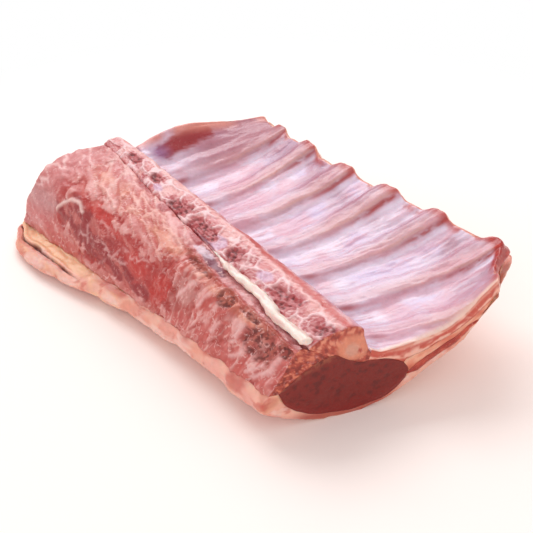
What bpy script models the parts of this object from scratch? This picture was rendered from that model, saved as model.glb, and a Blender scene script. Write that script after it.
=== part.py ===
"""Raw rack of lamb: eight ribs with the chine bone on, lying on its fat side.

Every piece is lofted along the spine through cross-sections that slant with the
two end cuts. The lengths below are in millimetres and the built model is in metres.
In a section, x runs from the spine towards the rib tips and z runs up.
The stations t run from 0 at the loin cut to 1 at the shoulder cut, along +Y.
"""
import math

import bpy

MM = 0.001

# Driving dimensions
SPINE_LENGTH = 199.0        # from the loin cut to the shoulder cut
CUT_SLANT = 0.268           # how far the end cuts run back for each mm of x
RIDGE_X = 12.4              # the ridge where the vertebrae drop to the ribs
MIDDLE_X = 28.9             # the middle of the footprint, which becomes the origin
MIDDLE_Y = 99.2
GAP = 0.32                  # clearance between neighbouring pieces

RIBS = 8
RIB_PITCH = 26.5            # from rib to rib at the spine
FIRST_RIB_Y = 11.3
RIB_ROOT_X = 27.0
RIB_HALF_WIDTH = 8.5
RIB_HEIGHT = 3.0            # how far a rib stands out of the inner face

WALL_ROOT_X = 18.5
WALL_ROOT_Z = 33.5          # where the inner face leaves the vertebrae
WALL_FLOOR_Z = 29.0         # its lowest stretch, beside the vertebrae
WALL_TIP_Z = 49.0
WALL_MEAT = 5.0             # rib and the meat between the ribs
CORNER = 0.17               # the station where the oblique cut of the loin corner ends
CORNER_TIP_X = 75.5
WIDEST_TIP_X = 103.0
SHOULDER_TIP_X = 88.0
SHOULDER_LIFT_START = 0.84  # from here on the wall curls up to the shoulder cut
RIM_REACH = (2.5, 11.0, 6.5)    # how far the rim's outer edge stands out: corner, first tip, beyond
RIM_DROP = (6.0, 9.0, 7.5)      # and how far it lies below the inner edge

# How the rib wall and the fat change towards the two cuts
LOIN_PART = 0.25                 # share of the spine over which the loin end changes shape
WALL_CURVE = (3.2, 2.3)          # power of the wall's rise at the loin cut and beyond
FILLET_END = 0.16                # share of the wall that the root's fillet takes
TIP_TAPER = 0.6                  # share of the spine over which the wall narrows
TIP_FLARE = 5.0                  # extra reach at the shoulder cut
CORNER_TIP_RISE = 3.5
SHOULDER_TIP_DROP = 4.5
SHOULDER_FLOOR_Z = 42.0          # the wall at the shoulder cut: its root, its rise and its droop
SHOULDER_RISE = 5.5
SHOULDER_DROOP = 3.0
SHOULDER_BELLY_LIFT = 8.0
BELLY_START_X = (14.0, 22.0)     # where the fat leaves the table, at the loin cut and beyond
EDGE_FLARE = 11.0                # the ledge near the shoulder cut, and the waist near the loin
EDGE_WAIST = 2.5

# The cap muscle in the fat, as shares of the way out along the ribs and up from the belly
SEAM_START = 0.27
CAP_STATIONS = (0.375, 0.5, 0.625, 0.75)
CAP_MIDDLE = 0.45
CAP_LOWER = (0.36, 0.22)         # at the loin cut, at the shoulder cut
CAP_UPPER = (0.62, 0.72)
CAP_INNER_END = (-5.0, -1.6)     # how far its ends reach past the outer stations
CAP_OUTER_END = (4.0, 2.4)

# The spinal cord
CORD_HALF_WIDTH = 3.3
CORD_HALF_HEIGHT = 2.4
CORD_OFFSET = (0.2, 3.5)
CORD_SIDES = 12

CUT_STATIONS = 29           # stations of the pieces with ribs and folds
PLAIN_STATIONS = 13         # stations of the pieces that only taper

# Section curves at the loin cut and at the shoulder cut, each through a few points
LEFT_FACE = (((-28.8, 21.3), (-24.5, 29.5), (-20.5, 36.5), (-16.2, 42.2), (-13.0, 43.8), (-10.5, 42.8)),
             ((-42.5, 7.5), (-41.0, 15.0), (-37.0, 27.0), (-30.0, 39.0), (-13.0, 45.6), (3.5, 47.6)))
BAND_TOP = (((-10.5, 42.8), (-6.6, 45.6), (-1.0, 47.4), (5.0, 49.0), (11.0, 49.0), (14.3, 46.6)),
            ((3.5, 47.6), (6.0, 48.7), (8.0, 49.4), (10.0, 49.7), (12.4, 49.0), (14.6, 46.0)))
EYE_TOP_LEFT = (((-24.8, 21.0), (-16.5, 27.8), (-9.7, 33.2), (-1.6, 36.2)),
                ((-24.0, 15.5), (-17.0, 23.0), (-9.0, 28.5), (0.0, 31.0)))
EYE_TOP_MIDDLE = (((-1.6, 36.2), (3.5, 35.2), (8.6, 31.2), (13.0, 28.9), (17.0, 29.0)),
                  ((0.0, 31.0), (4.5, 30.6), (9.0, 28.6), (13.0, 26.8), (17.0, 26.0)))
EYE_TOP_RIGHT = (((17.0, 29.0), (23.0, 28.2), (29.0, 26.4), (34.0, 23.2)),
                 ((17.0, 26.0), (22.0, 25.0), (27.0, 22.8), (31.0, 19.5)))
EYE_RIGHT = (((34.0, 23.2), (36.3, 18.5), (34.8, 13.5)),
             ((31.0, 19.5), (32.5, 15.5), (30.5, 10.5)))
EYE_BOTTOM = (((34.8, 13.5), (30.0, 8.2), (20.4, 3.8), (6.0, 2.4), (-9.0, 5.0), (-19.5, 11.6), (-24.8, 21.0)),
              ((30.5, 10.5), (25.0, 6.4), (15.0, 4.0), (3.0, 3.4), (-10.0, 4.6), (-20.0, 8.6), (-24.0, 15.5)))
LEFT_EDGE = (((-28.8, 21.3), (-31.6, 16.5), (-30.6, 11.0), (-22.0, 6.0), (-12.0, 2.0), (-3.0, 0.0)),
             ((-42.5, 7.5), (-46.5, 6.5), (-49.0, 3.6), (-45.5, 0.8), (-40.0, 0.0), (-32.0, 0.0)))

# How the outside rises from the table to the rib tips, as shares of its reach and height
BELLY_AT_CUT = ((0.0, 0.0), (0.2, 0.10), (0.42, 0.25), (0.62, 0.38), (0.76, 0.54), (0.87, 0.75), (1.0, 1.0))
BELLY_BEYOND = ((0.0, 0.0), (0.2, 0.12), (0.42, 0.32), (0.62, 0.53), (0.76, 0.69), (0.87, 0.83), (1.0, 1.0))


# Curves in a section

def mix(low, high, part):
    """The value that lies the given part of the way from low to high."""
    return low + (high - low) * part


def smooth(value):
    """An even step from 0 to 1."""
    value = min(1.0, max(0.0, value))
    return value * value * (3.0 - 2.0 * value)


def bell(distance, half_width):
    """A soft bump, 1 in its middle and 0 from half_width on."""
    if abs(distance) >= half_width:
        return 0.0
    return 0.5 + 0.5 * math.cos(math.pi * distance / half_width)


def spline(points, samples):
    """A Catmull-Rom curve through the points, read at evenly spaced samples."""
    first = tuple(2 * a - b for a, b in zip(points[0], points[1]))
    last = tuple(2 * a - b for a, b in zip(points[-1], points[-2]))
    knots = [first, *points, last]
    spans = len(points) - 1
    out = []
    for index in range(samples):
        place = index / (samples - 1) * spans
        span = min(int(place), spans - 1)
        u = place - span
        p0, p1, p2, p3 = knots[span:span + 4]
        out.append(tuple(0.5 * (2 * b + (c - a) * u + (2 * a - 5 * b + 4 * c - d) * u * u
                                + (3 * b - a - 3 * c + d) * u ** 3)
                         for a, b, c, d in zip(p0, p1, p2, p3)))
    return out


def section(curve, t, samples):
    """A named curve at station t, between its loin form and its shoulder form."""
    near, far = curve
    points = [(mix(a[0], b[0], t), mix(a[1], b[1], t)) for a, b in zip(near, far)]
    return spline(points, samples)


def left_edge(t):
    """The edge of the fat, which flares out on the table near the shoulder cut."""
    flare = EDGE_FLARE * bell(t - 0.8, 0.28) - EDGE_WAIST * bell(t - 0.25, 0.3)
    line = section(LEFT_EDGE, t, 9)
    return [(x - flare * math.sin(math.pi * i / 8), max(0.0, z)) for i, (x, z) in enumerate(line)]


# The rib wall

def cut_y(x, t):
    """Where the slanted section at station t lies at x, along the spine."""
    return SPINE_LENGTH * t - CUT_SLANT * (x - RIDGE_X)


def rib_relief(x, t):
    """How much of a rib lies under this point of the inner face, from 0 to 1."""
    y = cut_y(x, t)
    relief = 0.0
    for rib in range(RIBS):
        lean = 0.17 + 0.33 * math.exp(-rib / 2.5)
        middle = FIRST_RIB_Y + RIB_PITCH * rib - lean * (x - RIB_ROOT_X)
        relief += bell((y - middle) / math.hypot(1.0, lean), RIB_HALF_WIDTH)
    return relief


def tip_x(t):
    """How far the inner face reaches: an oblique cut at the loin corner, then a slow taper."""
    if t < CORNER:
        return mix(CORNER_TIP_X, WIDEST_TIP_X, t / CORNER)
    taper = math.sin(math.pi / 2 * min(1.0, (t - CORNER) / TIP_TAPER))
    return mix(WIDEST_TIP_X, SHOULDER_TIP_X - 1.0, taper) + TIP_FLARE * smooth((t - 0.85) / 0.15)


def tip_z(t):
    """The height of the rib tips, highest at the loin corner and lowest at the shoulder cut."""
    return (WALL_TIP_Z + CORNER_TIP_RISE * (1.0 - smooth(t / CORNER))
            - SHOULDER_TIP_DROP * smooth((t - 0.75) / 0.25))


def shoulder_lift(t):
    return smooth((t - SHOULDER_LIFT_START) / (1.0 - SHOULDER_LIFT_START))


def rim(sizes, t):
    """A size of the rim: its value at the corner, at the first whole rib's tip and beyond."""
    corner, first, beyond = sizes
    return mix(mix(corner, first, smooth(t / CORNER)), beyond, smooth((t - CORNER) / 0.15))


def wall_x(s, t):
    return mix(WALL_ROOT_X, tip_x(t), s)


def wall_base(s, t):
    """The inner face between the ribs, s running from its root to its tips."""
    power = mix(*WALL_CURVE, smooth(t / LOIN_PART))
    fillet = (WALL_ROOT_Z - WALL_FLOOR_Z) * max(0.0, 1.0 - s / FILLET_END) ** 2
    height = WALL_FLOOR_Z + (tip_z(t) - WALL_FLOOR_Z) * s ** power + fillet
    curled = SHOULDER_FLOOR_Z + SHOULDER_RISE * smooth(s / 0.4) - SHOULDER_DROOP * s ** 2
    return mix(height, curled, shoulder_lift(t))


def wall_top(s, t):
    x = wall_x(s, t)
    height = RIB_HEIGHT * smooth(s / 0.12)
    return x, wall_base(s, t) + height * rib_relief(x, t)


def wall_seam(s, t):
    """Between the meat of the ribs and the fat under it."""
    return wall_x(s, t) + rim(RIM_REACH, t) * 0.5 * s, wall_base(s, t) - WALL_MEAT * mix(1.0, 0.8, s)


def wall_belly(s, t):
    """The outside of the fat, from the table up to the rim."""
    body = smooth(t / LOIN_PART)
    share, rise = zip(*[(mix(a[0], b[0], body), mix(a[1], b[1], body))
                        for a, b in zip(BELLY_AT_CUT, BELLY_BEYOND)])
    reach, height = spline(list(zip(share, rise)), 25)[round(24 * s)]
    start = mix(*BELLY_START_X, body)
    lift = SHOULDER_BELLY_LIFT * shoulder_lift(t) * smooth(s / 0.5) * (1.0 - s)
    outer_z = tip_z(t) - rim(RIM_DROP, t)
    return mix(start, tip_x(t) + rim(RIM_REACH, t), reach), outer_z * height + lift


# Section outlines, each counter-clockwise seen from the loin cut

def join(*curves):
    """One closed outline from curves that meet end to end."""
    outline = []
    for curve in curves:
        for point in curve:
            if not outline or math.dist(point, outline[-1]) > 1e-6:
                outline.append(point)
    if math.dist(outline[0], outline[-1]) < 1e-6:
        outline.pop()
    return outline


def seam_line(t):
    """The underside of the rib wall, from beside the eye muscle to the rim."""
    return [wall_seam(mix(SEAM_START, 1.0, i / 7), t) for i in range(8)]


def cap_line(t, share):
    """A line through the fat under the rib wall, at a share of the way from belly to seam."""
    line = []
    for s in CAP_STATIONS:
        belly = wall_belly(s, t)
        seam = wall_seam(s, t)
        line.append((mix(belly[0], seam[0], share), mix(belly[1], seam[1], share)))
    return line


def cap_ends(t):
    """The inner and the outer end of the cap muscle."""
    middle = cap_line(t, CAP_MIDDLE)
    return tuple((x + reach[0], z + reach[1])
                 for (x, z), reach in ((middle[0], CAP_INNER_END), (middle[-1], CAP_OUTER_END)))


def cap_lower(t):
    inner, outer = cap_ends(t)
    return [inner, *cap_line(t, mix(*CAP_LOWER, t)), outer]


def cap_upper(t):
    inner, outer = cap_ends(t)
    return [inner, *cap_line(t, mix(*CAP_UPPER, t)), outer]


def rim_middle(t):
    """Where the fat above and the fat below the cap muscle meet at the rim."""
    seam = wall_seam(1.0, t)
    belly = wall_belly(1.0, t)
    return mix(seam[0], belly[0], 0.5), mix(seam[1], belly[1], 0.5)


def eye_muscle_outline(t):
    return join(section(EYE_BOTTOM, t, 11)[::-1], section(EYE_RIGHT, t, 5)[::-1],
                section(EYE_TOP_RIGHT, t, 4)[::-1], section(EYE_TOP_MIDDLE, t, 5)[::-1],
                section(EYE_TOP_LEFT, t, 5)[::-1])


def back_strip_outline(t):
    return join(section(EYE_TOP_LEFT, t, 5), section(LEFT_FACE, t, 11)[::-1])


def vertebrae_outline(t):
    root = wall_top(0.0, t)
    ridge = section(BAND_TOP, t, 11)
    side = [(mix(ridge[-1][0], root[0], 0.35), mix(ridge[-1][1], root[1], 0.5)), root]
    return join(section(EYE_TOP_MIDDLE, t, 5), side[::-1], ridge[::-1])


def rib_wall_outline(t):
    top = [wall_top(i / 14, t) for i in range(15)]
    return join(section(EYE_TOP_RIGHT, t, 4), seam_line(t), top[::-1])


def cap_muscle_outline(t):
    return join(cap_lower(t), cap_upper(t)[::-1])


def seam_fat_outline(t):
    """The fat between the cap muscle and the ribs."""
    beside_eye = section(EYE_RIGHT, t, 5)[:4]
    return join(beside_eye[::-1], seam_line(t), [rim_middle(t)], cap_upper(t)[::-1])[::-1]


def fat_cap_outline(t):
    """The fat that the rack lies on, round its left edge and out to the rim."""
    belly = [wall_belly(i / 8, t) for i in range(9)]
    return join(left_edge(t), belly, [rim_middle(t)], cap_lower(t)[::-1],
                section(EYE_BOTTOM, t, 11))


def spinal_cord_outline(t):
    """An oval lying in the canal groove, between the back strip and the vertebrae."""
    canal = section(BAND_TOP, t, 11)[0]
    middle = (canal[0] + CORD_OFFSET[0], canal[1] + CORD_OFFSET[1])
    return [(middle[0] + CORD_HALF_WIDTH * math.cos(a), middle[1] + CORD_HALF_HEIGHT * math.sin(a))
            for a in (2 * math.pi * i / CORD_SIDES for i in range(CORD_SIDES))]


# Solids

def shrink(outline, distance):
    """The outline moved inwards, which leaves a gap to the pieces around it."""
    count = len(outline)
    moved = []
    for index, (x, z) in enumerate(outline):
        before = outline[index - 1]
        after = outline[(index + 1) % count]
        along = (x - before[0], z - before[1])
        ahead = (after[0] - x, after[1] - z)
        long_a = math.hypot(*along)
        long_b = math.hypot(*ahead)
        normal = (-along[1] / long_a - ahead[1] / long_b, along[0] / long_a + ahead[0] / long_b)
        length = math.hypot(*normal)
        reach = distance / max(0.35, length / 2)
        moved.append((x + normal[0] / length * reach, z + normal[1] / length * reach))
    return moved


def place(x, t, z):
    """A section point as a point of the model, in metres."""
    return (MM * (x - MIDDLE_X), MM * (cut_y(x, t) - MIDDLE_Y), MM * (z - GAP / 2))


def loft(name, outline_at, stations, material, start=0.0, end=1.0):
    """A closed solid through the outlines at evenly spaced stations, with flat ends.

    The diagonals all lean the same way across the model, so that the faces of two
    neighbours on a curved boundary stay a gap apart.
    """
    vertices = []
    for index in range(stations):
        t = mix(start, end, index / (stations - 1))
        ring = shrink(outline_at(t), GAP / 2)
        vertices += [place(x, t, z) for x, z in ring]
    count = len(vertices) // stations
    faces = [tuple(range(count))]
    for station in range(stations - 1):
        for index in range(count):
            here = station * count + index
            following = station * count + (index + 1) % count
            if vertices[here][0] < vertices[following][0]:
                faces.append((following, here, following + count))
                faces.append((here, here + count, following + count))
            else:
                faces.append((following, here, here + count))
                faces.append((following, here + count, following + count))
    faces.append(tuple(reversed(range((stations - 1) * count, stations * count))))
    mesh = bpy.data.meshes.new(name)
    mesh.from_pydata(vertices, [], faces)
    mesh.update()
    mesh.shade_smooth()
    mesh.set_sharp_from_angle(angle=math.radians(40))
    mesh.materials.append(material)
    piece = bpy.data.objects.new(name, mesh)
    bpy.context.scene.collection.objects.link(piece)
    return piece


def finish_of(name, colour, roughness):
    """A plain moist finish."""
    material = bpy.data.materials.new(name)
    material.use_nodes = True
    shader = material.node_tree.nodes["Principled BSDF"]
    shader.inputs["Base Color"].default_value = (*colour, 1.0)
    shader.inputs["Roughness"].default_value = roughness
    shader.inputs["Metallic"].default_value = 0.0
    return material


def build():
    for old in list(bpy.data.objects):
        bpy.data.objects.remove(old, do_unlink=True)
    lean_meat = finish_of("lean_meat", (0.20, 0.025, 0.02), 0.45)
    red_meat = finish_of("red_meat", (0.42, 0.09, 0.07), 0.45)
    fat = finish_of("fat", (0.83, 0.50, 0.36), 0.45)
    membrane = finish_of("membrane", (0.72, 0.45, 0.50), 0.35)
    bone = finish_of("bone", (0.70, 0.30, 0.30), 0.45)
    marrow_cord = finish_of("marrow_cord", (0.86, 0.78, 0.62), 0.35)

    loft("eye_muscle", eye_muscle_outline, PLAIN_STATIONS, lean_meat)
    loft("cap_muscle", cap_muscle_outline, CUT_STATIONS, red_meat)
    loft("seam_fat", seam_fat_outline, CUT_STATIONS, fat)
    loft("back_strip", back_strip_outline, PLAIN_STATIONS, red_meat)
    loft("vertebrae", vertebrae_outline, CUT_STATIONS, bone)
    loft("rib_wall", rib_wall_outline, CUT_STATIONS, membrane)
    loft("fat_cap", fat_cap_outline, CUT_STATIONS, fat)
    loft("spinal_cord", spinal_cord_outline, PLAIN_STATIONS, marrow_cord, start=0.01, end=0.42)


build()
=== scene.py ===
"""The looks of a raw rack of lamb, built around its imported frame.

Each piece is a closed slab that fills the space between two curves of a cross-section,
swept along the spine from the loin cut to the shoulder cut. Its surface is a fine grid
that gets the relief of the meat, and a tint for each point that the materials read.
Lengths are in millimetres until a piece becomes a mesh, which is in metres.
"""
import math

import bpy
import numpy as np
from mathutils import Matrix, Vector


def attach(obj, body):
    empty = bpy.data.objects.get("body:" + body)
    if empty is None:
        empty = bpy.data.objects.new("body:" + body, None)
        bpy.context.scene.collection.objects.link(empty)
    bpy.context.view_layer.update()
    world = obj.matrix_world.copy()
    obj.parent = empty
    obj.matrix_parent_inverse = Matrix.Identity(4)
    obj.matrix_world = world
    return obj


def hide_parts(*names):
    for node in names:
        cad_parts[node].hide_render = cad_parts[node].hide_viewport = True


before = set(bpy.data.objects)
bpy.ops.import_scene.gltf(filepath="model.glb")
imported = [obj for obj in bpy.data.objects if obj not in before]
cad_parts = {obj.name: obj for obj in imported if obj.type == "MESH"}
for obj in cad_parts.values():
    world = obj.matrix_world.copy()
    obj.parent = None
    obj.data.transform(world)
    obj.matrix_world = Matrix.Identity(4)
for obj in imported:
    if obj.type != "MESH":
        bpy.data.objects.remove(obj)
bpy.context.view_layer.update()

MM = 0.001
WET_DEPTH = 1.14     # how much moisture deepens the tints

# Sizes shared with the frame
SPINE_LENGTH = 199.0
CUT_SLANT = 0.268
RIDGE_X = 12.4
MIDDLE_X = 28.9
MIDDLE_Y = 99.2
RIBS = 8
RIB_PITCH = 26.5
FIRST_RIB_Y = 11.3
RIB_ROOT_X = 27.0
RIB_HEIGHT = 3.2
WALL_ROOT_X = 18.5
WALL_ROOT_Z = 33.5
WALL_FLOOR_Z = 29.0
WALL_TIP_Z = 49.0
WALL_MEAT = 5.0
CORNER = 0.17
CORNER_TIP_X = 75.5
WIDEST_TIP_X = 103.0
SHOULDER_TIP_X = 87.0
RIM_REACH = (2.5, 11.0, 6.5)
RIM_DROP = (6.0, 9.0, 7.5)

# Section curves at the loin cut and at the shoulder cut, as in the frame
LEFT_FACE = (((-28.8, 21.3), (-24.5, 29.5), (-20.5, 36.5), (-16.2, 42.2), (-13.0, 43.8), (-10.5, 42.8)),
             ((-42.5, 7.5), (-41.0, 15.0), (-37.0, 27.0), (-30.0, 39.0), (-13.0, 45.6), (3.5, 47.6)))
BAND_TOP = (((-10.5, 42.8), (-6.6, 45.6), (-1.0, 47.4), (5.0, 49.0), (11.0, 49.0), (14.3, 46.6)),
            ((3.5, 47.6), (6.0, 48.7), (8.0, 49.4), (10.0, 49.7), (12.4, 49.0), (14.6, 46.0)))
EYE_TOP_LEFT = (((-24.8, 21.0), (-16.5, 27.8), (-9.7, 33.2), (-1.6, 36.2)),
                ((-24.0, 15.5), (-17.0, 23.0), (-9.0, 28.5), (0.0, 31.0)))
EYE_TOP_MIDDLE = (((-1.6, 36.2), (3.5, 35.2), (8.6, 31.2), (13.0, 28.9), (17.0, 29.0)),
                  ((0.0, 31.0), (4.5, 30.6), (9.0, 28.6), (13.0, 26.8), (17.0, 26.0)))
EYE_TOP_RIGHT = (((17.0, 29.0), (23.0, 28.2), (29.0, 26.4), (34.0, 23.2)),
                 ((17.0, 26.0), (22.0, 25.0), (27.0, 22.8), (31.0, 19.5)))
EYE_RIGHT = (((34.0, 23.2), (36.3, 18.5), (34.8, 13.5)),
             ((31.0, 19.5), (32.5, 15.5), (30.5, 10.5)))
EYE_BOTTOM = (((34.8, 13.5), (30.0, 8.2), (20.4, 3.8), (6.0, 2.4), (-9.0, 5.0), (-19.5, 11.6), (-24.8, 21.0)),
              ((30.5, 10.5), (25.0, 6.4), (15.0, 4.0), (3.0, 3.4), (-10.0, 4.6), (-20.0, 8.6), (-24.0, 15.5)))
LEFT_EDGE = (((-28.8, 21.3), (-31.6, 16.5), (-30.6, 11.0), (-22.0, 6.0), (-12.0, 2.0), (-3.0, 0.0)),
             ((-42.5, 7.5), (-46.5, 6.5), (-49.0, 3.6), (-45.5, 0.8), (-40.0, 0.0), (-32.0, 0.0)))
BELLY_AT_CUT = ((0.0, 0.0), (0.2, 0.10), (0.42, 0.25), (0.62, 0.38), (0.76, 0.54), (0.87, 0.75), (1.0, 1.0))
BELLY_BEYOND = ((0.0, 0.0), (0.2, 0.12), (0.42, 0.32), (0.62, 0.53), (0.76, 0.69), (0.87, 0.83), (1.0, 1.0))

# The spinal cord: where it starts and ends along the spine, and its half width and height
CORD_START = 0.004
CORD_END = 0.42
CORD_HALF_WIDTH = 2.6
CORD_HALF_HEIGHT = 1.7


# Steps, bumps and colours

def mix(low, high, part):
    return low + (high - low) * part


def smooth(value):
    value = np.clip(value, 0.0, 1.0)
    return value * value * (3.0 - 2.0 * value)


def step(value, low, high):
    """0 below low, 1 above high."""
    return smooth((value - low) / (high - low))


def bell(distance, half_width):
    """A soft bump, 1 in its middle and 0 from half_width on."""
    near = np.clip(np.abs(distance) / half_width, 0.0, 1.0)
    return 0.5 + 0.5 * np.cos(math.pi * near)


def linear(screen):
    """A screen colour, 0 to 255, as the linear values that materials take."""
    value = np.array(screen, float) / 255.0
    return np.where(value <= 0.04045, value / 12.92, ((value + 0.055) / 1.055) ** 2.4)


class Tint:
    """The colour of each point of a piece, laid on in coats of screen colours."""

    def __init__(self, first, count):
        self.values = np.tile(linear(first), (count, 1))

    def coat(self, over, amount):
        """Lays one colour over the others by the given amounts."""
        amount = np.clip(amount, 0.0, 1.0)[:, None]
        self.values = self.values * (1.0 - amount) + linear(over) * amount
        return self

    def blend(self, other, amount):
        """Turns into another tint by the given amounts."""
        self.values = mix(self.values, other.values, amount[:, None])


# Noise

TURN = np.array([[0.36, 0.48, -0.8], [-0.8, 0.6, 0.0], [0.48, 0.64, 0.6]])


def hashed(x, y, z, seed):
    """An even random value from 0 to 1 for each whole-number place."""
    h = (x * 374761393 + y * 668265263 + z * 1103515245 + seed * 974634777) & 0xFFFFFFFF
    h = ((h ^ (h >> 13)) * 1274126177) & 0xFFFFFFFF
    h = ((h ^ (h >> 15)) * 668265263) & 0xFFFFFFFF
    return (h ^ (h >> 16)) / 4294967296.0


def value_noise(points, seed):
    """Smooth noise from -1 to 1."""
    base = np.floor(points).astype(np.int64)
    f = points - base
    f = f * f * f * (f * (f * 6.0 - 15.0) + 10.0)
    total = 0.0
    for dx in (0, 1):
        for dy in (0, 1):
            for dz in (0, 1):
                corner = hashed(base[:, 0] + dx, base[:, 1] + dy, base[:, 2] + dz, seed)
                weight = (f[:, 0] if dx else 1.0 - f[:, 0])
                weight = weight * (f[:, 1] if dy else 1.0 - f[:, 1])
                weight = weight * (f[:, 2] if dz else 1.0 - f[:, 2])
                total = total + corner * weight
    return total * 2.0 - 1.0


def noise(points, size, octaves, seed):
    """Layered noise with features of the given size in mm."""
    p = points / size
    total = 0.0
    strength = 1.0
    reach = 0.0
    for octave in range(octaves):
        total = total + strength * value_noise(p + 17.3 * octave, seed + octave)
        reach += strength
        strength *= 0.5
        p = p @ TURN.T * 2.03
    return total / reach * 1.5


def veins(points, size, octaves, seed, width):
    """Thin branching lines, 1 on a line and 0 away from it."""
    return 1.0 - step(np.abs(noise(points, size, octaves, seed)), 0.0, width)


def cells(u, v, size, seed, jitter=0.8):
    """Cells on a plane: how near each point is to its cell's edge, and the cell's own random value."""
    u = u / size
    v = v / size
    base_u = np.floor(u).astype(np.int64)
    base_v = np.floor(v).astype(np.int64)
    first = np.full(u.shape, 9.0)
    second = np.full(u.shape, 9.0)
    own = np.zeros(u.shape)
    zero = np.zeros_like(base_u)
    for du in (-1, 0, 1):
        for dv in (-1, 0, 1):
            cu = base_u + du
            cv = base_v + dv
            pu = cu + 0.5 + jitter * (hashed(cu, cv, zero, seed) - 0.5)
            pv = cv + 0.5 + jitter * (hashed(cu, cv, zero, seed + 1) - 0.5)
            distance = np.hypot(u - pu, v - pv)
            nearer = distance < first
            second = np.where(nearer, first, np.minimum(second, distance))
            own = np.where(nearer, hashed(cu, cv, zero, seed + 2), own)
            first = np.where(nearer, distance, first)
    return second - first, own


def patches(u, v, spots, uneven):
    """Soft-edged ovals on a plane, each (u, v, half length, half height, slope), with uneven borders."""
    total = np.zeros(u.shape)
    for middle_u, middle_v, half_u, half_v, slope in spots:
        away_u = u - middle_u
        away_v = v - middle_v - slope * away_u
        away = np.hypot(away_u / half_u, away_v / half_v)
        total = np.maximum(total, 1.0 - step(away + uneven, 0.72, 1.12))
    return total


def strands(u, v, lines, half_width):
    """Thin streaks along broken lines of (u, v) corners."""
    nearest = np.full(u.shape, 99.0)
    for line in lines:
        for (u0, v0), (u1, v1) in zip(line, line[1:]):
            du, dv = u1 - u0, v1 - v0
            along = np.clip(((u - u0) * du + (v - v0) * dv) / (du * du + dv * dv), 0.0, 1.0)
            nearest = np.minimum(nearest, np.hypot(u - u0 - along * du, v - v0 - along * dv))
    return bell(nearest, half_width)


# Section curves

def spline(points, samples):
    """A Catmull-Rom curve through the points, read at evenly spaced samples."""
    points = np.asarray(points, float)
    knots = np.vstack([2 * points[0] - points[1], points, 2 * points[-1] - points[-2]])
    spans = len(points) - 1
    place = np.linspace(0.0, spans, samples)
    span = np.minimum(place.astype(int), spans - 1)
    u = (place - span)[:, None]
    a, b, c, d = (knots[span + i] for i in range(4))
    return 0.5 * (2 * b + (c - a) * u + (2 * a - 5 * b + 4 * c - d) * u ** 2
                  + (3 * b - a - 3 * c + d) * u ** 3)


def section(curve, t, samples):
    """A named curve at each station: an array of stations, samples and x, z."""
    near, far = (spline(points, samples)[None] for points in curve)
    return mix(near, far, t[:, None, None])


def join(*curves):
    """Curves that meet end to end, as one; a shared end point is kept once."""
    return np.concatenate([curves[0]] + [curve[:, 1:] for curve in curves[1:]], axis=1)


def respace(curve, shares):
    """The curve of each station read at the given shares of its length."""
    out = np.empty((len(curve), len(shares), 2))
    for index, line in enumerate(curve):
        run = np.concatenate([[0.0], np.cumsum(np.hypot(*np.diff(line, axis=0).T))])
        place = np.asarray(shares) * run[-1]
        out[index, :, 0] = np.interp(place, run, line[:, 0])
        out[index, :, 1] = np.interp(place, run, line[:, 1])
    return out


def even(curve, count):
    return respace(curve, np.linspace(0.0, 1.0, count))


def cut_y(x, t):
    return SPINE_LENGTH * t - CUT_SLANT * (x - RIDGE_X)


def rib_lean(rib):
    return 0.17 + 0.33 * math.exp(-rib / 2.5)


def rib_distance(x, y):
    """The distance across the ribs to the nearest one, positive on its shoulder side, and its number."""
    best = np.full(np.shape(x), 99.0)
    number = np.zeros(np.shape(x))
    for rib in range(RIBS):
        lean = rib_lean(rib)
        middle = FIRST_RIB_Y + RIB_PITCH * rib - lean * (x - RIB_ROOT_X)
        away = (y - middle) / math.hypot(1.0, lean)
        nearer = np.abs(away) < np.abs(best)
        best = np.where(nearer, away, best)
        number = np.where(nearer, rib, number)
    return best, number


def tip_x(t):
    oblique = mix(CORNER_TIP_X, WIDEST_TIP_X, t / CORNER)
    taper = np.sin(math.pi / 2 * np.clip((t - CORNER) / 0.6, 0.0, 1.0))
    beyond = mix(WIDEST_TIP_X, SHOULDER_TIP_X, taper) + 5.0 * step(t, 0.85, 1.0)
    return np.where(t < CORNER, oblique, beyond)


def tip_z(t):
    return WALL_TIP_Z + 3.5 * (1.0 - smooth(t / CORNER)) - 4.5 * step(t, 0.75, 1.0)


def rim(sizes, t):
    corner, first, beyond = sizes
    return mix(mix(corner, first, smooth(t / CORNER)), beyond, step(t, CORNER, CORNER + 0.15))


def shoulder_lift(t):
    return step(t, 0.84, 1.0)


def wall_base(s, t):
    power = mix(3.2, 2.3, smooth(t / 0.25))
    fillet = (WALL_ROOT_Z - WALL_FLOOR_Z) * np.maximum(0.0, 1.0 - s / 0.16) ** 2
    height = WALL_FLOOR_Z + (tip_z(t) - WALL_FLOOR_Z) * s ** power + fillet
    curled = 42.0 + 5.5 * smooth(s / 0.4) - 3.0 * s ** 2
    return mix(height, curled, shoulder_lift(t))


def wall_lines(t, s):
    """The inner face without its ribs, and the seam under the rib meat, at stations t and shares s."""
    t = t[:, None]
    s = s[None]
    x = mix(WALL_ROOT_X, tip_x(t), s)
    z = wall_base(s, t)
    inner = np.stack([x, z], axis=-1)
    seam_x = x + rim(RIM_REACH, t) * 0.5 * s
    seam = np.stack([seam_x, z - WALL_MEAT * mix(1.0, 0.8, s)], axis=-1)
    return inner, seam


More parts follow.
